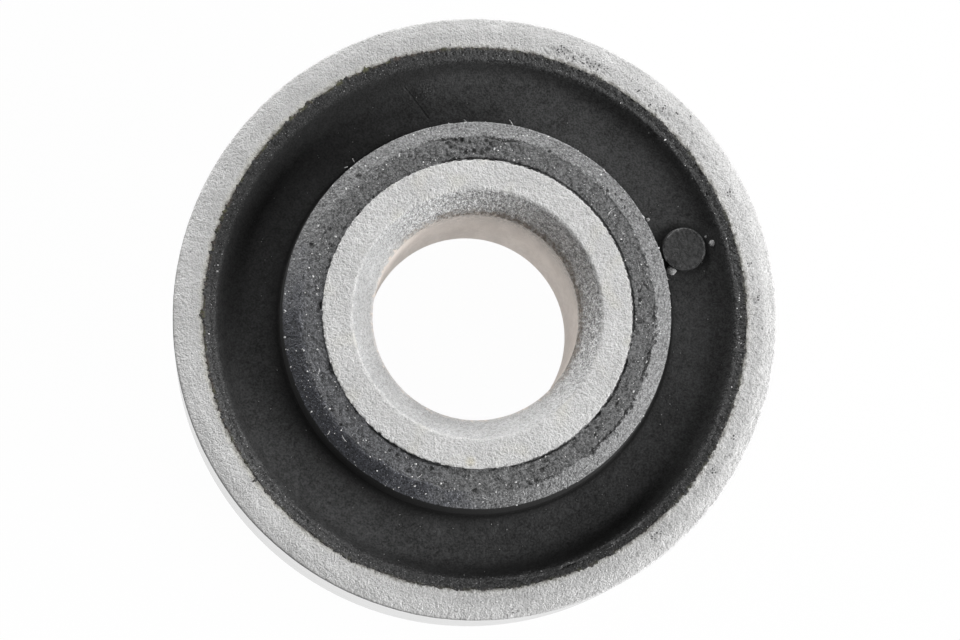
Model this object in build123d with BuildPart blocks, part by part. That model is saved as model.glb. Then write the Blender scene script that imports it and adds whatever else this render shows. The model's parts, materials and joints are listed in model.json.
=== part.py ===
"""Bonded rubber and metal bush: a rubber ring moulded between two steel sleeves.

The bush stands on the lower end face of its inner sleeve. The bore axis is +Z, and
the origin is the centre of that lower end. The two ends are alike, apart from the
lead-in at the lower end of the outer sleeve, which goes into the eye first, and the
gate stub on the upper face of the rubber. All sizes are in millimetres.
"""

import os

from build123d import *

# Inner sleeve: the bolt clamps it, so it is the longest of the three pieces.
bolt_diameter = 12.0
bolt_clearance = 0.2  # on the diameter
inner_wall = 3.1
inner_length = 17.0
mouth_width = 1.4  # radial width of the taper at each mouth of the bore
mouth_angle = 60.0  # full angle of that taper
inner_edge_chamfer = 0.2

# Outer sleeve: pressed into its eye.
outer_diameter = 36.0
outer_wall = 1.85
outer_length = 12.5
rim_bevel_width = 0.8  # shallow bevel at the outer edge of the upper rim
rim_bevel_drop = 0.2
rim_edge_radius = 0.2  # rounded edge between the bevel and the outside
lead_in_length = 2.5
lead_in_depth = 0.7

# Rubber, next to the outer sleeve: a flat lip, then a slope down to the recess floor.
lip_width = 0.65
lip_setback = 0.1  # below the rim of the outer sleeve
slope_width = 0.75
recess_depth = 1.1  # from the lip to the outer edge of the floor
floor_fall = 0.25  # the floor is this much deeper at the foot of the collar
floor_radius = 0.8  # rounded corner between the slope and the floor

# Rubber, next to the inner sleeve: a collar with a trimmed band and a sloping shoulder.
trim_width = 1.3
trim_setback = 0.1  # below the end face of the inner sleeve
shoulder_width = 1.0
shoulder_drop = 0.55
collar_draft = 0.15  # the collar is this much wider at its foot, on the radius

# Gate stub: where the rubber was cut from its runner, on the floor of the recess.
stub_diameter = 2.6
stub_height = 0.5
stub_angle = 18.5  # round the axis, from +X towards +Y

# Radii and heights that follow from the sizes above.
bore_radius = (bolt_diameter + bolt_clearance) / 2
inner_radius = bore_radius + inner_wall
outer_radius = outer_diameter / 2
rubber_radius = outer_radius - outer_wall
mouth_radius = bore_radius + mouth_width
middle_height = inner_length / 2

# Section plane: its X is the radius, and its Y is the height above the middle.
section_plane = Plane(origin=(0, 0, middle_height), x_dir=(1, 0, 0), z_dir=(0, -1, 0))

# Heights of the rubber's upper face, from the middle of the bush.
lip_height = outer_length / 2 - lip_setback
floor_outer_height = lip_height - recess_depth
floor_inner_height = floor_outer_height - floor_fall
trim_height = inner_length / 2 - trim_setback
shoulder_height = trim_height - shoulder_drop

# Radii of the rubber's upper face.
lip_inner_radius = rubber_radius - lip_width
floor_outer_radius = lip_inner_radius - slope_width
trim_radius = inner_radius + trim_width
collar_radius = trim_radius + shoulder_width
floor_inner_radius = collar_radius + collar_draft


with BuildPart() as inner_sleeve:
    Cylinder(inner_radius, inner_length, align=(Align.CENTER, Align.CENTER, Align.MIN))
    ends = inner_sleeve.faces().filter_by(Axis.Z).sort_by(Axis.Z)
    with Locations(ends[-1], ends[0]):
        CounterSinkHole(bore_radius, mouth_radius, counter_sink_angle=mouth_angle)
    outer_edges = inner_sleeve.edges().filter_by(GeomType.CIRCLE).group_by(SortBy.RADIUS)[-1]
    chamfer(outer_edges, inner_edge_chamfer)
inner_sleeve.part.label = "inner_sleeve"


with BuildPart() as outer_sleeve:
    with BuildSketch(section_plane) as wall_section:
        with BuildLine():
            Polyline(
                (rubber_radius, -outer_length / 2),
                (outer_radius - lead_in_depth, -outer_length / 2),
                (outer_radius, -outer_length / 2 + lead_in_length),
                (outer_radius, outer_length / 2 - rim_bevel_drop),
                (outer_radius - rim_bevel_width, outer_length / 2),
                (rubber_radius, outer_length / 2),
                close=True,
            )
        make_face()
        rim_corner = wall_section.vertices().group_by(Axis.X)[-1].sort_by(Axis.Y)[-1]
        fillet(rim_corner, rim_edge_radius)
    revolve(axis=Axis.Z)
outer_sleeve.part.label = "outer_sleeve"


# The upper half of the rubber's section is drawn and mirrored about the middle.
with BuildPart() as rubber_body:
    with BuildSketch(section_plane):
        with BuildLine():
            face_line = FilletPolyline(
                (inner_radius, trim_height),
                (trim_radius, trim_height),
                (collar_radius, shoulder_height),
                (floor_inner_radius, floor_inner_height),
                (floor_outer_radius, floor_outer_height),
                (lip_inner_radius, lip_height),
                (rubber_radius, lip_height),
                radius=[0, 0, 0, floor_radius, 0],
            )
            mirror(face_line, about=Plane.XZ)
            Line((inner_radius, trim_height), (inner_radius, -trim_height))
            Line((rubber_radius, lip_height), (rubber_radius, -lip_height))
        make_face()
    revolve(axis=Axis.Z)

    # The stub stands in the middle of the recess, and its root is inside the rubber.
    stub_axis_radius = (floor_inner_radius + floor_outer_radius) / 2
    stub_top_height = (floor_inner_height + floor_outer_height) / 2 + stub_height
    with BuildSketch(Plane.XY.offset(middle_height)):
        with PolarLocations(stub_axis_radius, 1, start_angle=stub_angle):
            Circle(stub_diameter / 2)
    extrude(amount=stub_top_height)
rubber_body.part.label = "rubber_body"


os.makedirs("parts", exist_ok=True)
for piece in (inner_sleeve, outer_sleeve, rubber_body):
    export_step(piece.part, f"parts/{piece.part.label}.step")
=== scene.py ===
"""Looks of the bonded rubber and metal bush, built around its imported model.

Lengths are in metres, and angles round the bore are in degrees from +X towards +Y.
Each of the three pieces is a turned mesh, in the place of its CAD node. Marks, which
are numbers at each point of a mesh, tell its material what is there.
"""

import json
import math
from types import SimpleNamespace

import bmesh
import bpy
import numpy as np
from mathutils import Matrix, Vector, noise


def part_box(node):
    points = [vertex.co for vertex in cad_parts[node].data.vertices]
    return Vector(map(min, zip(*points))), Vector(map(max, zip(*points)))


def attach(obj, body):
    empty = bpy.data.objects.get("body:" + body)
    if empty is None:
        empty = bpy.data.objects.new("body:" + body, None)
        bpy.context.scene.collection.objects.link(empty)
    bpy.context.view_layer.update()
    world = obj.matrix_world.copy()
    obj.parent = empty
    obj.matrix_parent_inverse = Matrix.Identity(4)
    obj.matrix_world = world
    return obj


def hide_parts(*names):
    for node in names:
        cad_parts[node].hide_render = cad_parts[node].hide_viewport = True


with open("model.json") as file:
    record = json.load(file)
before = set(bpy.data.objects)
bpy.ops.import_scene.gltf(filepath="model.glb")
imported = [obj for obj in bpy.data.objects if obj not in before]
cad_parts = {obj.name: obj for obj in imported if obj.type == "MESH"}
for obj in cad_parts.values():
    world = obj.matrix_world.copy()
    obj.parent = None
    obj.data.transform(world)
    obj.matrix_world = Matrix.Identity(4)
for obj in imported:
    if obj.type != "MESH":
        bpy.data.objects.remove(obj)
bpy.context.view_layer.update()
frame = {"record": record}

MM = 0.001
FULL_TURN = 2 * math.pi
rng = np.random.default_rng(36)

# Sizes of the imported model.
mounts = {mount["name"]: mount for mount in frame["record"]["mounts"]}
outer_low, outer_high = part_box("outer_sleeve")
inner_low, inner_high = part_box("inner_sleeve")
rubber_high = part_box("rubber_body")[1]
BORE_RADIUS = mounts["bore"]["dims"]["r_mm"] * MM
INNER_RADIUS = inner_high.x
OUTER_RADIUS = outer_high.x
RUBBER_RADIUS = rubber_high.x
MIDDLE = inner_high.z / 2

# Steel edges, as in the CAD model.
MOUTH_WIDTH = 1.4 * MM
MOUTH_HALF_ANGLE = math.radians(30)
BEVEL_WIDTH = 0.8 * MM
BEVEL_DROP = 0.2 * MM
RIM_EDGE_RADIUS = 0.2 * MM
LEAD_IN_LENGTH = 2.5 * MM
LEAD_IN_DEPTH = 0.7 * MM

# The edge of the mouth is worn, so it lies further in than in the CAD model.
MOUTH_WEAR = 0.13 * MM
MOUTH_DEPTH = (MOUTH_WIDTH - MOUTH_WEAR) / math.tan(MOUTH_HALF_ANGLE)

# Upper face of the rubber, as in the CAD model.
TRIM_RADIUS = INNER_RADIUS + 1.3 * MM
COLLAR_RADIUS = TRIM_RADIUS + 1.0 * MM
FOOT_RADIUS = COLLAR_RADIUS + 0.15 * MM
LIP_INNER_RADIUS = RUBBER_RADIUS - 0.65 * MM
FLOOR_OUTER_RADIUS = LIP_INNER_RADIUS - 0.75 * MM
TRIM_HEIGHT = rubber_high.z
SHOULDER_HEIGHT = TRIM_HEIGHT - 0.55 * MM
LIP_HEIGHT = outer_high.z - 0.1 * MM
FLOOR_OUTER_HEIGHT = LIP_HEIGHT - 1.1 * MM
FLOOR_INNER_HEIGHT = FLOOR_OUTER_HEIGHT - 0.25 * MM

# Its corners: (radius, height, rounding, spacing of the rows up to the next corner). The
# one between slope and floor is rounder than in the CAD model, which has 0.8 mm.
FACE_CORNERS = (
    (INNER_RADIUS - 0.1 * MM, TRIM_HEIGHT, 0, 0.07 * MM),
    (TRIM_RADIUS, TRIM_HEIGHT, 0.1 * MM, 0.075 * MM),
    (COLLAR_RADIUS, SHOULDER_HEIGHT, 0.045 * MM, 0.3 * MM),
    (FOOT_RADIUS, FLOOR_INNER_HEIGHT, 0.15 * MM, 0.15 * MM),
    (FLOOR_OUTER_RADIUS, FLOOR_OUTER_HEIGHT, 1.5 * MM, 0.1 * MM),
    (LIP_INNER_RADIUS, LIP_HEIGHT, 0.15 * MM, 0.06 * MM),
    (RUBBER_RADIUS, LIP_HEIGHT, 0, 5 * MM),
)

# Gate stub, as in the CAD model.
STUB_RADIUS = 1.3 * MM
STUB_ANGLE = 18.5
STUB_PLACE = (FOOT_RADIUS + FLOOR_OUTER_RADIUS) / 2
STUB_TOP = (FLOOR_OUTER_HEIGHT + FLOOR_INNER_HEIGHT) / 2 + 0.5 * MM

# Steps round the bore in each turned mesh, which stays under 200,000 triangles.
OUTER_SEGMENTS = 1300
INNER_SEGMENTS = 840
RUBBER_SEGMENTS = 772
FLASH_SEGMENTS = 3000
STUB_SEGMENTS = 180

# The blasted steel is set back by this much, so that its relief stays in the CAD box.
STEEL_SETBACK = 0.03 * MM

# Clusters of small pits in the rim: (radius, angle), in millimetres and degrees.
DENSE_PITS = ((16.75, 64), (16.7, 70), (16.7, 72.5), (16.6, 49))
LOOSE_PITS = ((16.6, 310), (16.7, 43), (16.6, 325), (16.5, 4))
PITTED_BAND = (16.3 * MM, 17.6 * MM)

# Dark pitted zones of the rim: (radius, angle, size), in millimetres and degrees.
PIT_ZONES = (
    (16.8, 62.0, 0.35), (16.7, 64.5, 0.45), (16.8, 67.0, 0.4), (16.65, 69.5, 0.4),
    (16.75, 72.0, 0.4), (17.0, 71.8, 0.3), (16.9, 47.8, 0.3), (16.6, 48.8, 0.35),
    (16.5, 50.5, 0.25), (17.7, 43.3, 0.3), (17.2, 45.5, 0.2), (16.8, 54.5, 0.2),
    (16.8, 308.5, 0.3), (16.7, 310.2, 0.25), (16.8, 327.0, 0.3), (16.85, 335.0, 0.25),
    (16.6, 82.0, 0.25), (16.6, 91.0, 0.2), (16.4, 95.5, 0.2), (17.6, 277.0, 0.25),
    (16.9, 4.0, 0.25), (16.7, 11.0, 0.25), (16.9, 26.0, 0.25),
)

# Torn places on the collar: (radius, angle, size), in millimetres and degrees.
SCARS = (
    (10.5, 2.0, 0.25), (9.62, 5.0, 0.22), (9.66, 8.0, 0.22), (10.85, 36.0, 0.14),
    (10.95, 38.5, 0.13), (10.9, 41.0, 0.14), (10.65, 43.5, 0.2), (10.5, 45.5, 0.18),
    (10.6, 66.0, 0.15), (11.05, 76.0, 0.13), (10.5, 84.8, 0.22), (10.15, 85.3, 0.25),
    (9.8, 86.5, 0.28), (9.6, 88.5, 0.3), (10.3, 87.0, 0.2), (10.55, 101.0, 0.2),
    (10.3, 100.0, 0.2), (10.05, 99.0, 0.18), (10.45, 97.5, 0.2), (10.35, 95.0, 0.22),
    (10.2, 92.5, 0.2), (9.7, 91.0, 0.28), (9.65, 94.0, 0.25), (10.75, 130.6, 0.28),
    (10.05, 150.0, 0.22), (10.2, 152.0, 0.15), (10.6, 157.6, 0.3), (10.4, 219.0, 0.2),
    (9.62, 237.0, 0.2), (9.65, 240.0, 0.2), (10.45, 268.6, 0.3), (9.55, 253.0, 0.25),
    (10.42, 289.0, 0.22), (9.92, 292.0, 0.25), (9.85, 294.0, 0.15), (10.5, 309.0, 0.16),
    (10.5, 312.0, 0.2), (10.47, 315.0, 0.18), (10.52, 318.0, 0.2), (10.5, 322.0, 0.18),
    (10.5, 326.0, 0.2), (9.95, 314.0, 0.2), (9.7, 316.0, 0.2), (10.55, 328.5, 0.2),
    (10.5, 331.0, 0.15), (9.75, 327.0, 0.18), (10.55, 340.0, 0.2), (10.6, 351.0, 0.2),
    (10.62, 353.5, 0.22), (10.55, 356.0, 0.15),
)

# Flow line in the floor of the recess: (radius, angle) of its two ends.
FLOW_LINE = ((14.7 * MM, 106.8), (12.2 * MM, 102.1))

# Rows of the flash: (side, height), in millimetres from the inner edge of the rim. The
# first ones slope up from the rubber. Those with a side above 0 follow the ragged edge,
# whose reach over the rim changes all round: they lie on it at 1, and up to 0.1 mm inside
# it below 1.
FLASH_ROWS = (
    (-0.5, -0.17), (-0.32, -0.095), (-0.15, -0.045), (0.0, 0.0),
    (0.8, -0.006), (1.0, -0.03), (0.9, -0.07), (-0.3, -0.15),
)
FLASH_SLOPE_ROWS = 3

# Bright specks on the rubber: (count, radii, angles).
SPECK_ZONES = (
    (170, (TRIM_RADIUS - 0.3 * MM, COLLAR_RADIUS), (185, 268)),
    (60, (INNER_RADIUS + 0.1 * MM, TRIM_RADIUS), (180, 265)),
    (560, (INNER_RADIUS + 0.1 * MM, COLLAR_RADIUS), (-95, 180)),
    (130, (LIP_INNER_RADIUS, RUBBER_RADIUS - 0.1 * MM), (0, 360)),
    (110, (COLLAR_RADIUS - 0.07 * MM, COLLAR_RADIUS), (-70, 160)),
    (45, (LIP_INNER_RADIUS + 0.1 * MM, RUBBER_RADIUS - 0.15 * MM), (-8, 5)),
)

# Crumbs by the gate stub: (radius, angle, size), in millimetres and degrees.
STUB_CRUMBS = (
    (14.78, 19.7, 0.15), (14.95, 17.7, 0.2), (12.25, 20.7, 0.16),
    (12.2, 14.2, 0.3), (12.05, 30.0, 0.1),
)
FLOOR_CRUMBS = 110  # finer ones, all over the floor

# Lint: (radius, angle, length, heading, bend, thickness), in millimetres and degrees.
FIBRES = (
    (11.5, 93.1, 0.3, 130, 20, 0.025), (11.58, 79.7, 0.45, 120, 30, 0.035),
    (11.45, 78.0, 0.45, 0, 120, 0.02), (11.25, 50.2, 0.42, -24, 0, 0.04),
    (10.45, 43.5, 0.26, 95, 0, 0.03), (9.95, 37.0, 0.55, 55, -60, 0.018),
    (10.75, 222.8, 0.5, -60, 40, 0.035), (11.25, 218.6, 0.28, 60, 0, 0.04),
    (11.7, 128.5, 0.28, 120, 0, 0.03), (11.68, 131.5, 0.22, 20, 0, 0.045),
    (9.9, 15.5, 0.4, 100, 30, 0.018), (9.75, 9.0, 0.35, 80, -30, 0.018),
    (10.9, 272.0, 0.3, 160, 0, 0.03), (10.2, 250.0, 0.35, 35, 30, 0.025),
    (11.1, 305.0, 0.3, 45, 0, 0.03), (10.0, 200.0, 0.4, 75, 50, 0.02),
)
FIBRE_POINTS = 9

# The camera leans from straight above the rim's centre, and looks just beside it.
CAMERA_LEAN = 6.3
CAMERA_SIDE = 242.2
CAMERA_DISTANCE = 292.6 * MM
CAMERA_AIM = (0.245 * MM, -0.161 * MM)
CAMERA_LENS = 184.8  # focal length, in millimetres

# Softboxes round the bush: (name, azimuth, elevation, power), in degrees and watts.
LAMPS = (
    ("right", 0, 26, 1.32),
    ("lower_right", 330, 14, 1.25),
    ("lower_right_high", 330, 34, 1.3),
    ("upper", 90, 14, 1.45),
    ("upper_left", 120, 14, 1.1),
    ("left_high", 150, 27, 0.6),
)
LAMP_DISTANCE = 0.5
LAMP_SIZE = 0.22

FLOOR_REACH = 2.0
FLOOR_WHITE = 0.98  # share of plain white in the floor, where it is seen
REFLECTED_SKY = 0.2  # strength of the background in reflections


# ---- turned meshes


def unit(vector):
    return vector / np.linalg.norm(vector)


def arc(before, here, after, rounding, spacing):
    """Rows of the arc that rounds the corner `here` between its two neighbours."""
    back, ahead = unit(before - here), unit(after - here)
    half = math.acos(np.clip(np.dot(back, ahead), -1, 1)) / 2
    centre = here + unit(back + ahead) * rounding / math.sin(half)
    reach = rounding / math.tan(half)
    start, end = here + back * reach - centre, here + ahead * reach - centre
    sweep = math.pi - 2 * half
    steps = max(2, round(sweep * rounding / spacing))
    turn = np.linspace(0, sweep, steps + 1)[:, None]
    return centre + (np.sin(sweep - turn) * start + np.sin(turn) * end) / math.sin(sweep)


def section(corners):
    """Rows (radius, height) of a closed section, which runs clockwise.

    Each corner is (radius, height, rounding, spacing). The rows from it to the next
    corner are at most that spacing apart.
    """
    places = [np.array(corner[:2]) for corner in corners]
    arcs = []
    for i, (_, _, rounding, spacing) in enumerate(corners):
        before, after = places[i - 1], places[(i + 1) % len(corners)]
        if rounding:
            arcs.append(arc(before, places[i], after, rounding, min(spacing, rounding / 2)))
        else:
            arcs.append(places[i][None, :])
    rows = []
    for i, corner in enumerate(corners):
        rows.extend(arcs[i])
        gap = arcs[(i + 1) % len(corners)][0] - arcs[i][-1]
        steps = math.ceil(np.linalg.norm(gap) / corner[3])
        rows.extend(arcs[i][-1] + gap * k / steps for k in range(1, steps))
    return np.array(rows)


class Turned:
    """A closed section turned round the bore axis, as a grid of rows by segments."""

    def __init__(self, rows, segments):
        along = np.roll(rows, -1, 0) - np.roll(rows, 1, 0)
        along /= np.linalg.norm(along, axis=1)[:, None]
        angle = np.arange(segments) * FULL_TURN / segments
        self.outward = np.stack([-along[:, 1], along[:, 0]], 1)[:, None, :]
        self.radius = np.repeat(rows[:, :1], segments, 1)
        self.height = np.repeat(rows[:, 1:], segments, 1)
        self.angle = np.repeat(angle[None, :], len(rows), 0)
        self.degrees = np.degrees(self.angle)

    def points(self):
        across = self.radius * np.cos(self.angle), self.radius * np.sin(self.angle)
        return np.stack([*across, self.height], -1)

    def push(self, distance):
        """Moves the surface outward by a distance for each point."""
        self.radius = self.radius + distance * self.outward[..., 0]
        self.height = self.height + distance * self.outward[..., 1]

    def build(self, name, marks, material):
        """The mesh object, with each mark kept as a point attribute."""
        rows, segments = self.radius.shape
        index = np.arange(rows * segments).reshape(rows, segments)
        below, beside = np.roll(index, -1, 0), np.roll(index, -1, 1)
        corners = np.stack([index, below, np.roll(below, -1, 1), beside], -1)
        made = mesh_object(name, self.points().reshape(-1, 3), corners.reshape(-1, 4), material)
        for mark, values in marks.items():
            attribute = made.data.attributes.new(mark, "FLOAT", "POINT")
            attribute.data.foreach_set("value", np.asarray(values, np.float32).ravel())
        return made


def add_object(name, data):
    made = bpy.data.objects.new(name, data)
    bpy.context.scene.collection.objects.link(made)
    return made


def mesh_object(name, points, faces, material):
    mesh = bpy.data.meshes.new(name)
    mesh.from_pydata(points, [], faces)
    mesh.shade_smooth()
    mesh.materials.append(material)
    return add_object(name, mesh)


def field(points, size, seed, octaves=1):
    """Smooth noise round zero for each point, whose size is in millimetres."""
    places = (points / (size * MM) + seed * 13.7).reshape(-1, 3).tolist()
    if octaves == 1:
        values = [noise.noise(place, noise_basis="PERLIN_NEW") for place in places]
    else:
        values = [
            noise.fractal(place, 0.8, 2, octaves, noise_basis="PERLIN_NEW") for place in places
        ]
    return np.array(values).reshape(points.shape[:-1])


def rise(value, low, high):
    """0 below low, 1 above high, and smooth between them."""
    share = np.clip((value - low) / (high - low), 0, 1)
    return share * share * (3 - 2 * share)


def fall(value, low, high):
    """1 below low, 0 above high, and smooth between them."""
    return 1 - rise(value, low, high)


def band(value, centre, half_width):
    """1 at the centre and 0 beyond the half width, smooth between them."""
    return fall(np.abs(value - centre), 0, half_width)


def near(degrees, centre, half_width):
    """1 round an angle and 0 further than the half width from it."""
    away = np.abs((degrees - centre + 180) % 360 - 180)
    return fall(away, half_width * 0.5, half_width)


def lobes(degrees, *rows):
    """Sum of amounts round some angles: (amount, centre, half width)."""
    return sum(amount * near(degrees, *place) for amount, *place in rows)


def polar(radius, degrees, height):
    turn = np.radians(degrees)
    return np.stack([radius * np.cos(turn), radius * np.sin(turn), height + 0 * radius], -1)


def polar_table(rows, height):
    """Places and sizes of rows (radius, angle, size), in millimetres and degrees."""
    radii, degrees, sizes = np.transpose(rows)
    return polar(radii * MM, degrees, height), sizes * MM


def scatter(count, radii, angles, height):
    """Random places between two radii and two angles, at one height."""
    radius = rng.uniform(*radii, count)
    return polar(radius, rng.uniform(*angles, count), height)


def clusters(count, middles, spread, height):
    """Random places in clusters, which are longer round the bore than across it.

    Each middle is (radius, angle), in millimetres and degrees. The spread is in millimetres.
    """
    places = []
    for radius, degrees in middles:
        radii = radius * MM + rng.normal(0, spread * MM, count)
        angles = degrees + np.degrees(rng.normal(0, 2.5 * spread, count) / radius)
        places.append(polar(radii, angles, height))
    return np.concatenate(places)


def dents(points, centres, radii):
    """1 in the middle of a dent and 0 outside all of them."""
    depth = np.zeros(points.shape[:-1])
    for centre, radius in zip(centres, radii):
        away = np.linalg.norm(points - centre, axis=-1)
        depth = np.maximum(depth, fall(away, 0, radius))
    return depth


def flow_ends():
    """The two ends of the flow line, at height 0."""
    return [polar(radius, degrees, 0.0) for radius, degrees in FLOW_LINE]


# ---- shader nodes


def add_node(tree, kind, inputs, output=0, **settings):
    """Adds a node, whose inputs are constants or values, and returns an output's value."""
    made = tree.nodes.new("ShaderNode" + kind)
    for setting, constant in settings.items():
        setattr(made, setting, constant)
    for socket, value in inputs.items():
        if isinstance(value, Value):
            tree.links.new(value.socket, made.inputs[socket])
        else:
            made.inputs[socket].default_value = value
    return Value(tree, made.outputs[output])


class Value:
    """The output of a node, for which +, - and * add nodes that calculate."""

    def __init__(self, tree, socket):
        self.tree, self.socket = tree, socket

    def calculate(self, operation, *values):
        return add_node(self.tree, "Math", dict(enumerate(values)), operation=operation)

    def __add__(self, other):
        return self.calculate("ADD", self, other)

    def __sub__(self, other):
        return self.calculate("SUBTRACT", self, other)

    def __rsub__(self, other):
        return self.calculate("SUBTRACT", other, self)

    def __mul__(self, other):
        return self.calculate("MULTIPLY", self, other)

    def __abs__(self):
        return self.calculate("ABSOLUTE", self)

    __radd__ = __add__
    __rmul__ = __mul__

    def ramp(self, low, high, start=0.0, end=1.0):
        """Start below low, end above high, and smooth between them."""
        inputs = {0: self, 1: low, 2: high, 3: start, 4: end}
        return add_node(self.tree, "MapRange", inputs, interpolation_type="SMOOTHSTEP")

    def spread(self, half_width=0.2):
        """A noise spread out round its mean, from -1 to 1."""
        return self.ramp(0.5 - half_width, 0.5 + half_width, -1.0, 1.0)


def most(first, *others):
    """The largest of some values."""
    for other in others:
        first = first.calculate("MAXIMUM", first, other)
    return first


class Finish:
    """One material, whose nodes are added from the textures to the surface."""

    def __init__(self, name, **constants):
        self.material = bpy.data.materials.new(name)
        self.material.use_nodes = True
        self.tree = self.material.node_tree
        self.surface = self.tree.nodes["Principled BSDF"]
        for socket, value in constants.items():
            self.surface.inputs[socket.replace("_", " ")].default_value = value
        self.place = self.node("TexCoord", {}, "Object")

    def node(self, kind, inputs, output=0, **settings):
        return add_node(self.tree, kind, inputs, output, **settings)

    def vector(self, operation, first, second=(0, 0, 0), output=0):
        return self.node("VectorMath", {0: first, 1: second}, output, operation=operation)

    def mark(self, name):
        """A point attribute of the mesh."""
        return self.node("Attribute", {}, "Fac", attribute_name=name)

    def noise(self, size, detail=2.0, rough=0.5, place=None):
        """Noise from 0 to 1, whose size is in millimetres."""
        inputs = {"Vector": place or self.place, "Scale": 1 / (size * MM)}
        inputs.update({"Detail": detail, "Roughness": rough})
        return self.node("TexNoise", inputs, "Fac")

    def cells(self, size):
        """Distance from the middle of each cell, whose size is in millimetres."""
        inputs = {"Vector": self.place, "Scale": 1 / (size * MM)}
        return self.node("TexVoronoi", inputs, "Distance")

    def blend(self, share, first, second):
        """A colour from the first, at share 0, to the second, at share 1."""
        inputs = {0: share, 6: first, 7: second}
        return self.node("Mix", inputs, 2, data_type="RGBA")

    def axis_distance(self):
        """Distance from the bore axis."""
        flat = self.vector("MULTIPLY", self.place, (1, 1, 0))
        return self.vector("LENGTH", flat, output="Value")

    def bump(self, height, depth):
        inputs = {"Height": height, "Distance": depth, "Strength": 1.0}
        return self.node("Bump", inputs)

    def finish(self, **values):
        """Links values to the sockets of the surface, and returns the material."""
        for name, value in values.items():
            self.tree.links.new(value.socket, self.surface.inputs[name.replace("_", " ")])
        return self.material


def grey(level, warmth=0.0):
    """A grey, with more red and less blue as the warmth rises."""
    return (level * (1 + warmth), level, level * (1 - warmth), 1.0)


BLACK = (0, 0, 0, 1)
WHITE = (1, 1, 1, 1)

# Steel, and what lies on it. The brownish tint serves the grime and the painted shade in the bore.
STAINED_STEEL = (0.62, 0.60, 0.50, 1.0)
YELLOWED_STEEL = (0.57, 0.52, 0.37, 1.0)
RUBBER_SMEAR = (0.12, 0.112, 0.095, 1.0)
DARK_BEIGE = (0.73, 0.66, 0.60, 1.0)
LIGHT_BEIGE = (0.86, 0.79, 0.73, 1.0)
BROWN_TINT = (1.08, 0.98, 0.90, 1.0)
BROWN_EDGE = (0.16, 0.145, 0.125, 1.0)

# Rubber: the bluish tint of its painted shade, a painted reflection, and the colours of the flash.
PAINTED_BLUE_REFLECTION = (0.93, 0.97, 1.14, 1.0)
BROWN_RUBBER = (0.075, 0.06, 0.05, 1.0)
OLIVE_RUBBER = (0.085, 0.085, 0.045, 1.0)


def blasted_steel():
    """Grit-blasted steel, dull and grey, with a smooth beige bore and a turned outside."""
    f = Finish("blasted_steel")
    bore, wall, taper = f.mark("bore"), f.mark("wall"), f.mark("taper")
    grit = f.noise(0.1, 2.0, 0.6)
    coarse = f.noise(0.22, 2.0, 0.5)
    mottle = coarse.spread()
    blotches = f.noise(0.6, 2.0, 0.55).spread(0.25)
    patches = f.noise(2.5, 3.0).spread(0.15)
    spots = f.cells(0.26).ramp(0.12, 0.4, 1.0, 0.0) * f.noise(0.3).ramp(0.5, 0.62)

    # The blasted faces, of which the shaded side of the taper looks roughest. The dull mark is
    # painted shade that darkens them, and painted light where it lightens the rim's bevel.
    level = (0.66 + blotches * 0.035 + patches * 0.03) * (1 - f.mark("dull") * 0.13)
    taper_contrast = taper * (0.1 + f.mark("shaded") * 0.25)
    level = level * (1 + (mottle + grit.spread()) * taper_contrast)
    level = level * grit.ramp(0.3, 0.55, 0.76, 1.0)
    level = level * (spots * (1 - taper)).ramp(0.0, 1.0, 1.0, 0.72)
    tint = f.blend(taper, grey(1.0, 0.004), grey(0.99, -0.008))
    colour = f.blend(level, BLACK, tint)
    colour = f.blend(f.mark("stain"), colour, STAINED_STEEL)
    colour = f.blend(f.mark("yellow"), colour, YELLOWED_STEEL)
    pits = f.cells(0.17).ramp(0.22, 0.46, 1.0, 0.0) * f.mark("pitted").ramp(0.05, 0.3)
    colour = f.blend(most(pits * 0.95, f.mark("pitting") * 0.5), colour, grey(0.05))
    colour = f.blend(f.mark("smear"), colour, RUBBER_SMEAR)

    # The bore, drawn along its axis, with brownish grime beside the taper, which fades on into
    # painted shade further in.
    drawn = f.vector("MULTIPLY", f.place, (1, 1, 0.2))
    clouds = f.noise(1.1, 3.0, 0.65, drawn) + mottle * 0.07
    beige = f.blend(clouds.ramp(0.3, 0.7), DARK_BEIGE, LIGHT_BEIGE)
    colour = f.blend(bore, colour, beige)
    brownish_tone = f.blend(0.37 + mottle * 0.1 + blotches * 0.07, BLACK, BROWN_TINT)
    speckle = (coarse + grit * 0.4).ramp(0.55, 0.82, 0.25, 1.3)
    colour = f.blend(f.mark("brown_dirt_and_painted_shade") * speckle, colour, brownish_tone)
    line = f.mark("edge") * (coarse + grit * 0.5).ramp(0.6, 0.85)
    colour = f.blend(line, colour, BROWN_EDGE)

    # The outside wall, with fine lathe marks round it.
    round_wall = f.vector("MULTIPLY", f.place, (0.03, 0.03, 1))
    lathe_marks = f.noise(0.2, 3.0, 0.6, round_wall)
    turned = (lathe_marks * 0.7 + patches * 0.05 + 0.15).ramp(0.35, 0.65)
    colour = f.blend(wall, colour, f.blend(turned, grey(0.64), grey(0.71)))
    # Painted shade: a dark line along the rim's outer edge, on the side away from the lamps.
    colour = f.blend(f.mark("painted_edge_shade"), colour, grey(0.09))

    rough = 0.68 - bore * 0.18 - wall * 0.46 + wall * lathe_marks * 0.08
    metal = 0.36 + bore * 0.04 + wall * 0.64
    blasted = 1 - most(bore * 0.75, wall)
    height = (grit * 1.15 + coarse * 1.3 - spots * 0.3) * blasted * (1 + taper * 0.8)
    normal = f.bump(height, 0.05 * MM)
    return f.finish(Base_Color=colour, Roughness=rough, Metallic=metal, Normal=normal)


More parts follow.
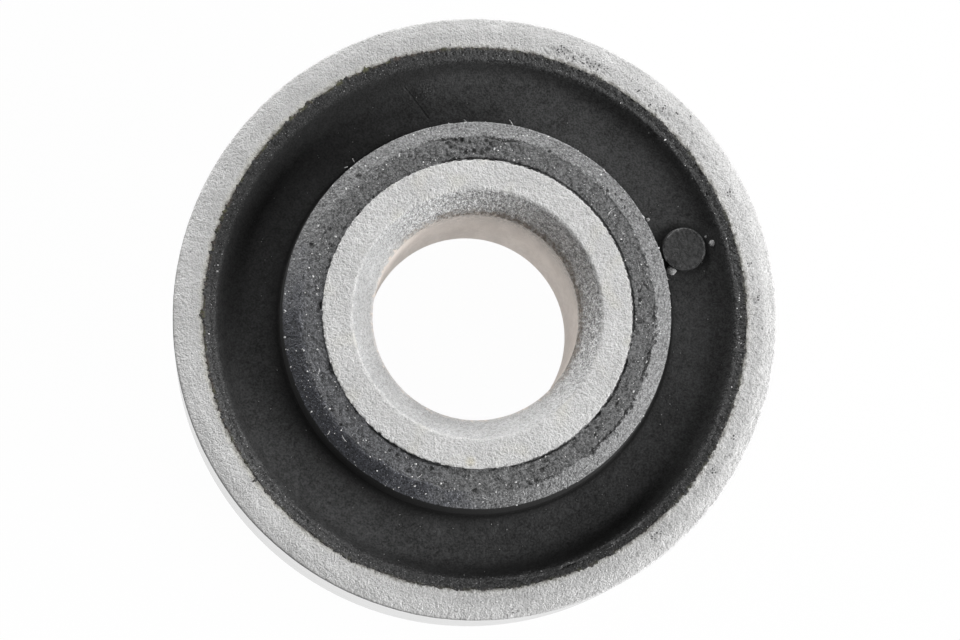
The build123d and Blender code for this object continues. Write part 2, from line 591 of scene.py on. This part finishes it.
def moulded_rubber():
    """Black rubber: matt in the recess, grey and torn round the inner sleeve."""
    f = Finish("moulded_rubber")
    trim, shoulder, lip, painted_shade_and_light = f.mark("trim"), f.mark("shoulder"), f.mark("lip"), f.mark("painted_shade_and_light")
    collar = trim + shoulder
    rough_zone = collar + lip
    grain = f.noise(0.12, 2.0, 0.6).spread()
    medium = f.noise(0.3, 2.0, 0.6).spread()
    mottle = f.noise(0.7, 3.0, 0.6).spread()
    clouds = f.noise(2.4, 3.0, 0.6).spread()

    level = 0.036 + trim * 0.082 + shoulder * 0.13 + lip * 0.004
    # Painted shade darkens the low and shaded places, and below 0 the same mark is painted light.
    # The next mark darkens and blues the collar's side away from the lamps: painted shade and a
    # painted reflection.
    level = level * (1 - painted_shade_and_light * 0.66) * (1 - f.mark("painted_blue_shade") * 0.72)
    change = grain * (0.55 + lip * 0.3 + collar * 0.05) + medium * (0.24 - collar * 0.08)
    change = change + mottle * (0.15 - collar * 0.09) + clouds * (0.17 - collar * 0.12)
    change = change + streaks(f) * (shoulder * 0.15 + trim * 0.19)
    level = level * most(1 + change, 0.2)
    glints = f.noise(0.08, 1.0).ramp(0.64, 0.76, 0.0, 0.3)
    level = level + glints * (rough_zone * 0.8 + 0.06)
    dark = cracks(f, trim, shoulder, lip) * rough_zone.ramp(0.0, 0.4)
    flow = flow_line(f)
    level = level * (1 - most(dark, flow) * 0.8)

    colour = f.blend(level, BLACK, grey(1.0, -0.008))
    colour = f.blend(f.mark("painted_blue_shade"), colour, f.blend(level, BLACK, PAINTED_BLUE_REFLECTION))
    brownish_tone = f.blend(mottle.ramp(-0.3, 0.3), BROWN_RUBBER, OLIVE_RUBBER)
    colour = f.blend(f.mark("olive"), colour, brownish_tone)
    rough = 0.52 + trim * 0.08 - shoulder * 0.08 + painted_shade_and_light * 0.3 - f.mark("gloss") * 0.2
    height = grain * (0.5 + rough_zone * 0.6) + medium * (0.4 + rough_zone)
    normal = f.bump(height - dark * 4.0 - flow * 4.0, 0.008 * MM)
    return f.finish(Base_Color=colour, Roughness=rough, Normal=normal)


def cracks(f, trim, shoulder, lip):
    """1 in the gap by the inner sleeve and in the cracks, holes, pits and scars."""
    wander = (f.noise(0.3, 3.0, 0.6) - 0.5) * (0.2 * MM)
    away = abs(f.axis_distance() + wander - (INNER_RADIUS + 0.05 * MM))
    gap = away.ramp(0.024 * MM, 0.08 * MM, 1.0, 0.0) * f.mark("seam").ramp(0.2, 0.6)
    away = abs(f.mark("step") + (f.noise(0.16) - 0.5) * 0.35)
    crevice = away.ramp(0.03, 0.1, 1.0, 0.0) * f.mark("crevice")
    holes = f.noise(0.28, 2.0, 0.6).ramp(0.3, 0.42, 1.0, 0.0) * f.mark("torn") * 0.35
    pits = f.cells(0.3).ramp(0.12, 0.34, 1.0, 0.0) * f.noise(0.35).ramp(0.5, 0.6)
    pits = pits * (trim * 0.2 + shoulder * 0.1 + lip * 0.3)
    scars = (f.mark("scar") + (f.noise(0.14) - 0.5) * 1.4).ramp(0.3, 0.55)
    scars = scars * f.mark("scar").ramp(0.0, 0.15)
    return most(gap, crevice, pits, holes, scars)


def streaks(f):
    """Fine streaks that run round the bore, from -1 to 1."""
    flat = f.vector("NORMALIZE", f.vector("MULTIPLY", f.place, (1, 1, 0)))
    round_bore = f.vector("MULTIPLY", flat, (9 * MM, 9 * MM, 0))
    across = f.node("CombineXYZ", {2: f.axis_distance() * 4.0})
    return f.noise(0.3, 2.0, 0.6, f.vector("ADD", round_bore, across)).spread()


def flow_line(f):
    """1 on the short dark flow line in the floor of the recess."""
    start, end = flow_ends()
    middle = np.linalg.norm(end - start) / 2
    along = unit(end - start)
    place = f.vector("SUBTRACT", f.place, tuple(start))
    side = f.vector("DOT_PRODUCT", place, (-along[1], along[0], 0), "Value")
    side = abs(side + (f.noise(0.6) - 0.5) * (0.12 * MM))
    reach = abs(f.vector("DOT_PRODUCT", place, tuple(along), "Value") - middle)
    line = side.ramp(0.02 * MM, 0.09 * MM, 1.0, 0.0)
    return line * reach.ramp(middle * 0.75, middle, 1.0, 0.0)


def dust(name, roughness, size, dark, light, depth):
    """Mottled dust between two grey levels, with a rough surface."""
    f = Finish(name, Roughness=roughness)
    share = f.noise(size).ramp(0.35, 0.65)
    colour = f.blend(share, grey(dark), grey(light))
    return f.finish(Base_Color=colour, Normal=f.bump(share, depth))


# ---- the three pieces


def rim_pitting(points, top):
    """Depth of the small pits in the rim, from 0 to 1."""
    places = np.concatenate([
        clusters(30, DENSE_PITS, 0.2, top),
        clusters(16, LOOSE_PITS, 0.3, top),
        scatter(50, PITTED_BAND, (-60, 60), top),
        scatter(30, PITTED_BAND, (60, 300), top),
    ])
    return dents(points, places, rng.uniform(0.06, 0.13, len(places)) * MM)


def make_outer_sleeve(steel):
    """The thin sleeve: a blasted rim with a shallow bevel, a smooth wall, a lead-in below."""
    inner_edge = RUBBER_RADIUS - 0.08 * MM
    top, bottom = outer_high.z, outer_low.z
    corners = [
        (inner_edge, top, 0.05 * MM, 0.07 * MM),
        (OUTER_RADIUS - BEVEL_WIDTH, top, 1.2 * MM, 0.075 * MM),
        (OUTER_RADIUS, top - BEVEL_DROP, RIM_EDGE_RADIUS, 0.05 * MM),
        (OUTER_RADIUS, top - 0.6 * MM, 0, 0.6 * MM),
        (OUTER_RADIUS, bottom + LEAD_IN_LENGTH, 0.3 * MM, 0.6 * MM),
        (OUTER_RADIUS - LEAD_IN_DEPTH, bottom, 0.1 * MM, 0.4 * MM),
        (inner_edge, bottom, 0.06 * MM, 4 * MM),
    ]
    ring = Turned(section(corners), OUTER_SEGMENTS)
    points, degrees = ring.points(), ring.degrees
    on_top = rise(ring.height, top - 0.3 * MM, top - 0.1 * MM)
    pitting = rim_pitting(points, top)
    pitted = dents(points, *polar_table(PIT_ZONES, top))

    rougher = 0.85 + 0.35 * np.cos(np.radians(degrees + 10))
    relief = (field(points, 0.19, 1) * 0.016 + field(points, 0.45, 11, 2) * 0.011) * MM
    waves = field(points, 2.5, 2) * 0.012 * MM
    upper = rise(ring.height, top - 0.5 * MM, top - 0.3 * MM)
    ring.push(upper * (relief * rougher + waves - pitting * 0.05 * MM) - STEEL_SETBACK)

    # Near the rubber the rim is stained and smeared.
    away = ring.radius - RUBBER_RADIUS
    width = 0.3 * MM + field(points, 0.5, 12, 2) * 0.25 * MM
    stain = on_top * fall(away, width * 0.2, width + 0.15 * MM)
    stain = stain * (0.1 + 0.25 * near(degrees, 175, 80))
    ragged = away + field(points, 0.25, 35, 3) * 0.2 * MM
    smear = on_top * fall(ragged, 0.0, 0.22 * MM)

    # Painted shade darkens the rim round 110 and 290 degrees, and painted light lightens its
    # bevel round 218. The dark line along its outer edge, round 220, is painted shade.
    dull = 0.5 - 0.4 * np.cos(np.radians(2 * degrees - 40)) + 0.15 * np.sin(ring.angle)
    bevel = rise(ring.radius, 16.8 * MM, 17.4 * MM)
    dull = dull + near(degrees, 218, 75) * (0.25 - 1.2 * bevel)
    painted_edge_shade = band(ring.height, top - 0.3 * MM, 0.1 * MM) * near(degrees, 220, 75)
    marks = {
        "stain": stain, "smear": smear * 0.7, "dull": on_top * dull,
        "pitting": pitting * 0.85, "pitted": on_top * pitted, "painted_edge_shade": painted_edge_shade * 0.8,
        "wall": fall(ring.height, top - 0.42 * MM, top - 0.36 * MM),
    }
    sleeve = ring.build("outer_sleeve_steel", marks, steel)
    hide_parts("outer_sleeve")
    return sleeve


def make_inner_sleeve(steel):
    """The thick sleeve: blasted end faces and a tapered mouth at each end of the bore."""
    mouth = BORE_RADIUS + MOUTH_WIDTH - MOUTH_WEAR
    top, bottom = inner_high.z, inner_low.z
    taper_foot = top - MOUTH_DEPTH
    corners = [
        (mouth, top, 0.19 * MM, 0.078 * MM),
        (INNER_RADIUS, top, 0.06 * MM, 3 * MM),
        (INNER_RADIUS, bottom, 0.15 * MM, 0.3 * MM),
        (mouth, bottom, 0.08 * MM, 0.4 * MM),
        (BORE_RADIUS, bottom + MOUTH_DEPTH, 0.3 * MM, 0.8 * MM),
        (BORE_RADIUS, taper_foot - 0.9 * MM, 0, 0.1 * MM),
        (BORE_RADIUS, taper_foot, 0.1 * MM, 0.09 * MM),
    ]
    ring = Turned(section(corners), INNER_SEGMENTS)
    points, degrees = ring.points(), ring.degrees
    inside = ring.radius < INNER_RADIUS - 0.5 * MM
    upper = 1 - inside * fall(ring.height, taper_foot - 0.3 * MM, taper_foot + 0.2 * MM)
    on_top = rise(ring.height, top - 0.15 * MM, top - 0.05 * MM)
    taper = inside * rise(ring.height, taper_foot, taper_foot + 0.4 * MM) * (1 - on_top)

    # Relief of the blasted faces, whose edges are chipped.
    edges = band(ring.radius, INNER_RADIUS, 0.2 * MM) + 0.35 * band(ring.radius, mouth, 0.2 * MM)
    chips = rise(field(points, 0.16, 14), -0.2, 0.4) * edges * on_top * 0.09 * MM
    relief = (field(points, 0.19, 5) * 0.013 + field(points, 0.45, 13, 2) * 0.01) * MM
    relief = relief * (1 + 0.7 * taper) + field(points, 2.5, 6) * 0.01 * MM
    places = scatter(60, (7.6 * MM, 9.0 * MM), (0, 360), top)
    pitting = dents(points, places, rng.uniform(0.06, 0.11, len(places)) * MM)
    ring.push(upper * (relief - chips - pitting * 0.03 * MM) - STEEL_SETBACK)

    # The bore begins at a ragged line, with brownish grime beside it on the shaded side. There
    # the same mark fades on further in as painted shade, so the wall is darker near its mouth.
    below = taper_foot - ring.height + field(points, 0.3, 28, 2) * 0.42 * MM
    facing = inside * (ring.height > MIDDLE)
    shaded = near(degrees, 45, 110) * facing
    reach = (0.9 + 5.3 * near(degrees, 68, 75)) * MM
    fade = np.clip(1 - below / reach, 0, 1) ** 1.25
    brown_dirt_and_painted_shade = 0.95 * shaded * rise(below, -0.6 * MM, -0.05 * MM) * fade
    edge = np.maximum(
        0.8 * band(below, -0.15 * MM, 0.4 * MM), 0.5 * band(below, 0.35 * MM, 0.8 * MM)
    )
    bore = inside * rise(below, -0.1 * MM, 0.2 * MM) * (ring.height > bottom + MOUTH_DEPTH)

    yellow_place = polar(8.75 * MM, 267, top)
    yellow = fall(np.linalg.norm(points - yellow_place, axis=-1), 0, 0.45 * MM)
    # The dull mark is painted shade, which darkens the taper most round 140 degrees.
    marks = {
        "taper": taper, "bore": bore, "brown_dirt_and_painted_shade": brown_dirt_and_painted_shade, "shaded": shaded,
        "edge": edge * (0.1 * facing + 0.9 * shaded), "yellow": on_top * yellow * 0.5,
        "stain": on_top * rise(field(points, 1.6, 15), 0.1, 0.6) * 0.25,
        "dull": taper * (1.1 + 0.5 * np.cos(np.radians(degrees - 140))),
        "pitting": pitting * 0.6,
    }
    sleeve = ring.build("inner_sleeve_steel", marks, steel)
    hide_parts("inner_sleeve")
    return sleeve


def make_rubber(rubber):
    """The moulding: a trimmed band and shoulder, a recess, and a lip by the outer sleeve."""
    coarse, hidden = 0.8 * MM, 5 * MM
    lower = [(r, 2 * MIDDLE - h, rounding, coarse) for r, h, rounding, _ in FACE_CORNERS[::-1]]
    lower[-1] = (*lower[-1][:3], hidden)
    ring = Turned(section([*FACE_CORNERS, *lower]), RUBBER_SEGMENTS)
    points = ring.points()
    r, h, degrees = ring.radius, ring.height, ring.degrees
    zones = rubber_zones(r, h, degrees, points)
    damage = collar_damage(r, degrees, points, zones)
    ropes = np.stack([r, ring.angle * RUBBER_RADIUS * 0.14, 0 * r], -1)
    ropes = field(ropes, 0.17, 37, 2) * near(degrees, 286, 32)
    ring.push(rubber_relief(r, degrees, points, zones, damage, ropes))

    # Painted highlight: a lighter edge on the collar round 45 degrees, which faces the lamps.
    painted_edge_highlight = band(r, COLLAR_RADIUS, 0.06 * MM) * zones.collar * 0.4 * near(degrees, 45, 60)
    # Painted light: a lighter patch on the floor beside the flow line, with the lip's texture.
    painted_light_patch = zones.floor * near(degrees, 101.5, 2.5)
    painted_light_patch = painted_light_patch * rise(r, 13.2 * MM, 13.8 * MM) * fall(r, 14.2 * MM, 14.8 * MM)
    # Painted shade: the shoulder round 150 to 280 degrees, and the trim round 210, are made darker
    # and bluer, as on the side away from the lamps.
    wander = degrees + field(points, 1.5, 34, 3) * 10
    painted_blue_shade = zones.shoulder * rise(wander, 152, 190) * fall(wander, 234, 282)
    painted_blue_shade = painted_blue_shade + 0.3 * zones.trim * near(degrees, 210, 60)
    marks = {
        **damage, "trim": zones.trim, "shoulder": zones.shoulder + painted_edge_highlight,
        "lip": zones.lip + 0.6 * painted_light_patch, "step": (r - zones.boundary) / MM,
        "gloss": zones.lip * near(degrees, 288, 30) * rise(ropes, -0.1, 0.2) * 1.3,
        "painted_shade_and_light": painted_rubber_shade(r, h, degrees, points, zones), "painted_blue_shade": painted_blue_shade,
    }
    body = ring.build("rubber_moulding", marks, rubber)
    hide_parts("rubber_body")
    return body


def rubber_zones(r, h, degrees, points):
    """The zones of the moulding's upper face, each from 0 to 1 at every point."""
    top = h > MIDDLE
    collar = top * rise(h, SHOULDER_HEIGHT - 0.12 * MM, SHOULDER_HEIGHT - 0.02 * MM)
    collar = collar * (r < FOOT_RADIUS)
    boundary = TRIM_RADIUS + field(points, 1.3, 8, 4) * 0.22 * MM
    soft = 0.06 * MM + 0.3 * MM * near(degrees, 165, 75)
    trim = collar * fall(r, boundary - soft, boundary + soft)
    floor = top * (r > FOOT_RADIUS) * fall(r, FLOOR_OUTER_RADIUS, FLOOR_OUTER_RADIUS + 0.3 * MM)
    lip = top * rise(r, LIP_INNER_RADIUS - 0.25 * MM, LIP_INNER_RADIUS)
    return SimpleNamespace(
        top=top, collar=collar, boundary=boundary, trim=trim, shoulder=collar - trim,
        floor=floor, lip=lip,
    )


def collar_damage(r, degrees, points, zones):
    """Marks of the damage on the collar."""
    crevice = np.maximum(near(degrees, 325, 55), near(degrees, 93, 26))
    crevice = crevice * rise(field(points, 1.4, 9), -0.35, 0.0)
    seam = np.maximum(near(degrees, 42, 68), 0.5 * near(degrees, 312, 45))
    seam = np.maximum(seam, 0.6 * near(degrees, 243, 22)) + 0.15
    seam = rise(field(points, 0.7, 32, 3) * 0.8 + seam, 0.3, 0.8)
    broken = near(degrees, 92, 22) * fall(r, 9.9 * MM, 10.6 * MM)
    torn = zones.trim * rise(field(points, 0.9, 33, 2) + 0.5 * broken, 0.05, 0.4)
    flat = points * (1, 1, 0) + (0, 0, TRIM_HEIGHT)
    scar = dents(flat, *polar_table(SCARS, TRIM_HEIGHT)) * zones.collar
    return {"crevice": crevice, "seam": seam, "torn": torn, "scar": scar}


def rubber_relief(r, degrees, points, zones, damage, ropes):
    """How far each point stands out from the smooth moulding."""
    tears = field(points, 0.45, 7, 4)
    fine = field(points, 0.16, 16)
    relief = zones.trim * (tears * 0.035 + fine * 0.016 - 0.04)
    relief = relief + damage["torn"] * (tears - 0.3) * 0.09
    lumps = field(points, 0.5, 17, 3)
    relief = relief + zones.shoulder * (lumps * 0.022 + fine * 0.01 - 0.012)

    gap = zones.top * fall(r, INNER_RADIUS, INNER_RADIUS + 0.14 * MM)
    gap = gap * (damage["seam"] * 1.5 - 0.5)
    tear_line = band(r, zones.boundary, 0.14 * MM) * zones.collar
    tear_line = tear_line * rise(field(points, 0.6, 29), -0.1, 0.3)
    relief = relief - gap * 0.05 - tear_line * 0.05 - damage["scar"] * 0.08

    waves = field(points, 0.3, 18, 2) * 0.012 + field(points, 3, 19) * 0.04
    relief = relief + zones.floor * (waves + flow_step(points))

    groove = band(r, RUBBER_RADIUS - 0.2 * MM, 0.2 * MM)
    groove = groove * rise(field(points, 1.5, 30), 0.0, 0.4) * 0.04
    lumps = field(points, 0.35, 20, 3) * 0.045 + fine * 0.016 - 0.015
    relief = relief + zones.lip * (lumps + ropes * 0.1 - groove)
    return relief * MM


def painted_rubber_shade(r, h, degrees, points, zones):
    """Painted shade: how much darker the low and shaded places are; below 0, painted light."""
    reach = (0.7 + 0.7 * near(degrees, 215, 75)) * MM
    foot = zones.top * (r > COLLAR_RADIUS) * fall(r, FOOT_RADIUS - 0.1 * MM, FOOT_RADIUS + reach)
    foot = foot * (1 + 0.4 * near(degrees, 240, 95))
    side = zones.top * (h < SHOULDER_HEIGHT - 0.05 * MM) * (r < FOOT_RADIUS + 0.3 * MM)
    side = side * (1 + 0.45 * fall(h, FLOOR_INNER_HEIGHT, FLOOR_INNER_HEIGHT + 0.6 * MM))
    inward = (0.4 + 0.9 * near(degrees, 145, 70)) * MM
    slope = zones.top * rise(r, FLOOR_OUTER_RADIUS - inward, FLOOR_OUTER_RADIUS + 0.2 * MM)
    slope = slope * (1 - zones.lip) * painted_slope_shade(degrees)
    shade = np.maximum(np.maximum(side, foot), slope) + zones.lip * painted_lip_shade(degrees)
    stub_foot = polar(STUB_PLACE, STUB_ANGLE, FLOOR_OUTER_HEIGHT)
    stub_away = np.linalg.norm(points - stub_foot, axis=-1)
    shade = np.maximum(shade, zones.floor * fall(stub_away, STUB_RADIUS, 2.0 * MM))
    painted_floor_light = lobes(degrees, (0.35, 225, 50), (0.2, 88, 30))
    return shade - zones.floor * painted_floor_light * rise(r, FOOT_RADIUS + 0.3 * MM, FOOT_RADIUS + reach)


def painted_lip_shade(degrees):
    """Painted shade: how much darker the lip is, round the bore."""
    return 0.1 + lobes(degrees, (0.5, 290, 60), (0.55, 135, 50), (-0.2, 215, 55))


def painted_slope_shade(degrees):
    """Painted shade: how much darker the slope inside the lip is, round the bore."""
    return 0.4 + lobes(degrees, (0.5, 145, 75), (0.5, 292, 40), (-0.25, 212, 50))


def flow_step(points):
    """Height, in millimetres, of the low step on one side of the flow line."""
    start, end = flow_ends()
    along = unit(end - start)
    place = points - start
    side = place[..., 1] * along[0] - place[..., 0] * along[1]
    reach = place @ along / np.linalg.norm(end - start)
    within = rise(reach, 0.0, 0.2) * fall(reach, 0.6, 1.0)
    return -0.05 * within * rise(side, -0.02 * MM, 0.02 * MM) * fall(side, 0, 0.7 * MM)


def make_flash(rubber):
    """The thin ragged web of rubber that ran over the inner edge of the rim."""
    top = outer_high.z
    rows = [(RUBBER_RADIUS + min(side, 0) * MM, top + height * MM) for side, height in FLASH_ROWS]
    ring = Turned(np.array(rows), FLASH_SEGMENTS)
    degrees = ring.degrees[0]
    edge = polar(np.full(FLASH_SEGMENTS, RUBBER_RADIUS), degrees, top)
    ragged = 0.16 * field(edge, 1.1, 22) + 0.13 * field(edge, 0.3, 23, 3)
    ragged = ragged + 0.1 * field(edge, 0.09, 24)
    wider = 0.9 + lobes(degrees, (0.4, 145, 60), (0.25, 300, 40))
    tongue = lobes(degrees, (0.3, 216.4, 0.3), (-0.15, 217.2, 0.6), (0.14, 219.6, 0.5))
    reach = np.maximum(ragged * wider + tongue + 0.03, -0.04) * MM
    for row, (side, _) in enumerate(FLASH_ROWS):
        if side > 0:
            ring.radius[row] = RUBBER_RADIUS + reach - (1 - side) * 0.1 * MM
    points = ring.points()
    ring.height += field(points, 0.2, 31) * 0.012 * MM - 0.008 * MM
    slope = slice(FLASH_SLOPE_ROWS)
    ring.height[slope] += field(points[slope], 0.35, 36, 3) * 0.05 * MM
    thin = np.ones_like(ring.radius)
    thin[slope] = 0
    browner = 0.35 + 0.65 * near(ring.degrees, 150, 80)
    # The flash takes the lip's painted shade.
    marks = {
        "lip": np.ones_like(ring.radius), "painted_shade_and_light": painted_lip_shade(ring.degrees),
        "olive": thin * browner * rise(field(points, 0.3, 25, 2), -0.3, 0.3),
    }
    flash = ring.build("rubber_flash", marks, rubber)
    return flash


def make_stub(rubber):
    """The cut gate: a low disc in the recess, with a thin raised edge on its far side."""
    root = FLOOR_INNER_HEIGHT - 0.3 * MM
    almost_axis = 0.002 * MM
    corners = [
        (almost_axis, STUB_TOP - 0.04 * MM, 0, 0.07 * MM),
        (STUB_RADIUS - 0.2 * MM, STUB_TOP - 0.04 * MM, 0.05 * MM, 0.05 * MM),
        (STUB_RADIUS - 0.1 * MM, STUB_TOP, 0.03 * MM, 0.03 * MM),
        (STUB_RADIUS, STUB_TOP - 0.05 * MM, 0.04 * MM, 0.08 * MM),
        (STUB_RADIUS + 0.04 * MM, root, 0, 0.7 * MM),
        (almost_axis, root, 0, 1 * MM),
    ]
    disc = Turned(section(corners), STUB_SEGMENTS)
    points = disc.points()
    far_side = near(disc.degrees, 60, 100)
    tears = field(points, 0.35, 26, 3) * 0.02 + field(points, 0.14, 27) * 0.01
    ridge = band(disc.radius, STUB_RADIUS - 0.1 * MM, 0.13 * MM)
    ridge = ridge * (disc.height > STUB_TOP - 0.1 * MM)
    relief = (tears - 0.012) * rise(disc.radius, 0.01 * MM, 0.15 * MM)
    disc.push((relief - ridge * (1 - far_side) * 0.045) * MM)
    side = disc.height < STUB_TOP - 0.08 * MM
    # Painted shade darkens the stub's side and its top, all but the raised edge.
    marks = {
        "trim": ridge * far_side * 0.3, "lip": 0.1 * (1 - side), "gloss": ridge * far_side,
        "painted_shade_and_light": side * 0.8 + 0.4 * (1 - side) * (1 - ridge),
    }
    stub = disc.build("gate_stub", marks, rubber)
    stub.data.transform(Matrix.Translation(polar(STUB_PLACE, STUB_ANGLE, 0.0)))
    return stub


# ---- dust, lint and crumbs


def icosphere(subdivisions):
    ball = bmesh.new()
    bmesh.ops.create_icosphere(ball, subdivisions=subdivisions, radius=1)
    points = np.array([vertex.co[:] for vertex in ball.verts])
    faces = np.array([[vertex.index for vertex in face.verts] for face in ball.faces])
    ball.free()
    return points, faces


def make_lumps(name, places, sizes, stretch, subdivisions, material):
    """Small uneven lumps as one mesh."""
    ball, faces = icosphere(subdivisions)
    points, corners = [], []
    for i, (place, size) in enumerate(zip(places, sizes)):
        uneven = 1 + 0.3 * field(ball * MM, 0.8, 40 + i)[:, None]
        turn = rng.uniform(0, FULL_TURN)
        along = np.array([math.cos(turn), math.sin(turn), 0])
        longer = rng.uniform(0, stretch) * (ball @ along)[:, None] * along
        points.append((ball * uneven + longer) * size + place)
        corners.append(faces + i * len(ball))
    return mesh_object(name, np.concatenate(points), np.concatenate(corners), material)


def face_height(radius):
    """Height of the rubber's upper face at a radius."""
    radii, heights, *_ = np.transpose(FACE_CORNERS)
    return np.interp(radius, radii, heights)


def make_specks(material):
    """Bright specks of blasting dust on the rubber."""
    places = np.concatenate([scatter(*zone, 0.0) for zone in SPECK_ZONES])
    places[:, 2] = face_height(np.hypot(places[:, 0], places[:, 1])) - 0.015 * MM
    sizes = rng.gamma(2.0, 0.01, len(places)).clip(0.008, 0.06) * MM
    return make_lumps("blasting_specks", places, sizes, 0.8, 1, material)


def make_crumbs(material):
    """Pale crumbs by the gate stub, and fine ones on the floor of the recess."""
    by_stub, sizes = polar_table(STUB_CRUMBS, 0.0)
    radii = (FOOT_RADIUS + 0.3 * MM, LIP_INNER_RADIUS)
    places = np.concatenate([by_stub, scatter(FLOOR_CRUMBS, radii, (0, 360), 0.0)])
    places[:, 2] = face_height(np.hypot(places[:, 0], places[:, 1]))
    sizes = np.concatenate([sizes, rng.uniform(0.015, 0.035, FLOOR_CRUMBS) * MM])
    return make_lumps("dust_crumbs", places, sizes, 0.1, 3, material)


def tube(points, radius, sides=6):
    """Points and faces of a thin closed tube along points that never run upright."""
    along = np.gradient(points, axis=0)
    along /= np.linalg.norm(along, axis=1)[:, None]
    side = np.cross(along, (0, 0, 1))
    side /= np.linalg.norm(side, axis=1)[:, None]
    above = np.cross(side, along)
    widths = radius * np.sin(np.linspace(0.25, math.pi - 0.25, len(points))) ** 0.5
    rings = []
    for k in range(sides):
        turn = FULL_TURN * k / sides
        outward = side * math.cos(turn) + above * math.sin(turn)
        rings.append(points + outward * widths[:, None])
    grid = np.stack(rings, 1)
    index = np.arange(grid.shape[0] * sides).reshape(-1, sides)
    this, after = index[:-1], index[1:]
    corners = np.stack([this, np.roll(this, -1, 1), np.roll(after, -1, 1), after], -1)
    ends = [index[0][::-1].tolist(), index[-1].tolist()]
    return grid.reshape(-1, 3), corners.reshape(-1, 4).tolist() + ends


def make_lint(material):
    """Short curved fibres on the rubber."""
    points, faces, first = [], [], 0
    for radius, degrees, length, heading, bend, thickness in FIBRES:
        centre = polar(radius * MM, degrees, 0.0)
        turn = np.radians(heading + bend * np.linspace(-0.5, 0.5, FIBRE_POINTS))
        step = np.stack([np.cos(turn), np.sin(turn), 0 * turn], -1)
        step = step * length * MM / (FIBRE_POINTS - 1)
        path = centre + np.cumsum(step, 0) - step.sum(0) / 2
        height = face_height(min(radius * MM, COLLAR_RADIUS)) + 0.4 * thickness * MM
        path[:, 2] = height + np.linspace(0, 0.06 * MM, FIBRE_POINTS)
        part, corners = tube(path, thickness * MM / 2)
        points.append(part)
        faces.extend([[corner + first for corner in face] for face in corners])
        first += len(part)
    return mesh_object("lint_fibres", np.concatenate(points), faces, material)


def make_dirt():
    """What lies on the rubber."""
    pale = dust("pale_dust", 0.7, 0.08, 0.5, 0.85, 0.01 * MM)
    dull = dust("grey_dust", 0.8, 0.1, 0.3, 0.5, 0.02 * MM)
    made = [make_specks(pale), make_crumbs(dull), make_lint(pale)]
    return made


# ---- camera, floor and light


def direction(azimuth, elevation):
    """Unit vector towards an azimuth and an elevation in degrees."""
    a, e = math.radians(azimuth), math.radians(elevation)
    return Vector((math.cos(a) * math.cos(e), math.sin(a) * math.cos(e), math.sin(e)))


def make_camera():
    """Looks down on the upper end, from a little to the lower left."""
    rim_centre = Vector((0, 0, outer_high.z))
    place = rim_centre + direction(CAMERA_SIDE, 90 - CAMERA_LEAN) * CAMERA_DISTANCE
    ahead = (rim_centre + Vector((*CAMERA_AIM, 0)) - place).normalized()
    right = (Vector((1, 0, 0)) - ahead * ahead.x).normalized()
    up = right.cross(ahead)
    camera = add_object("camera", bpy.data.cameras.new("camera"))
    turn = Matrix((right, up, -ahead)).transposed().to_4x4()
    camera.matrix_world = Matrix.Translation(place) @ turn
    camera.data.lens = CAMERA_LENS
    camera.data.clip_start = 0.01
    bpy.context.scene.camera = camera


def seen_rays(tree):
    """Values that are 1 for rays from the camera, for reflected rays, and for rays let through."""
    path = tree.nodes.new("ShaderNodeLightPath")
    names = ("Is Camera Ray", "Is Glossy Ray", "Is Transmission Ray")
    return [Value(tree, path.outputs[name]) for name in names]


def make_floor():
    """A pale floor that shows white, keeps a soft shadow, and is clear from below."""
    f = Finish("floor", Base_Color=grey(0.85), Roughness=0.9)
    share = most(*seen_rays(f.tree)) * FLOOR_WHITE
    white = f.node("Emission", {"Color": WHITE, "Strength": 1.0})
    lit = Value(f.tree, f.surface.outputs[0])
    above = f.node("MixShader", {0: share, 1: lit, 2: white})
    under = f.node("NewGeometry", {}, "Backfacing")
    whole = f.node("MixShader", {0: under, 1: above, 2: f.node("BsdfTransparent", {})})
    f.tree.links.new(whole.socket, f.tree.nodes["Material Output"].inputs[0])
    far = FLOOR_REACH
    corners = [(-far, -far, 0), (far, -far, 0), (far, far, 0), (-far, far, 0)]
    floor = mesh_object("floor", corners, [(0, 1, 2, 3)], f.material)


def make_lamp(name, azimuth, elevation, power):
    """A square softbox that looks at the bush."""
    back = direction(azimuth, elevation)
    lamp = add_object(name, bpy.data.lights.new(name, "AREA"))
    lamp.data.size = LAMP_SIZE
    lamp.data.energy = power
    lamp.visible_camera = False
    lamp.location = Vector((0, 0, MIDDLE)) + back * LAMP_DISTANCE
    lamp.rotation_euler = back.to_track_quat("Z", "Y").to_euler()


def make_world():
    """A white background, which is dimmer in reflections and gives no light."""
    world = bpy.context.scene.world or bpy.data.worlds.new("world")
    bpy.context.scene.world = world
    world.use_nodes = True
    camera, reflected, through = seen_rays(world.node_tree)
    strength = most(camera, through, reflected * REFLECTED_SKY)
    sky = world.node_tree.nodes["Background"]
    world.node_tree.links.new(strength.socket, sky.inputs["Strength"])
    sky.inputs["Color"].default_value = WHITE


steel = blasted_steel()
rubber = moulded_rubber()
pieces = [make_outer_sleeve(steel), make_inner_sleeve(steel), make_rubber(rubber)]
pieces += [make_flash(rubber), make_stub(rubber), *make_dirt()]
for piece in pieces:
    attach(piece, "root")
make_camera()
make_floor()
for lamp in LAMPS:
    make_lamp(*lamp)
make_world()
bpy.context.scene.view_settings.view_transform = "Standard"
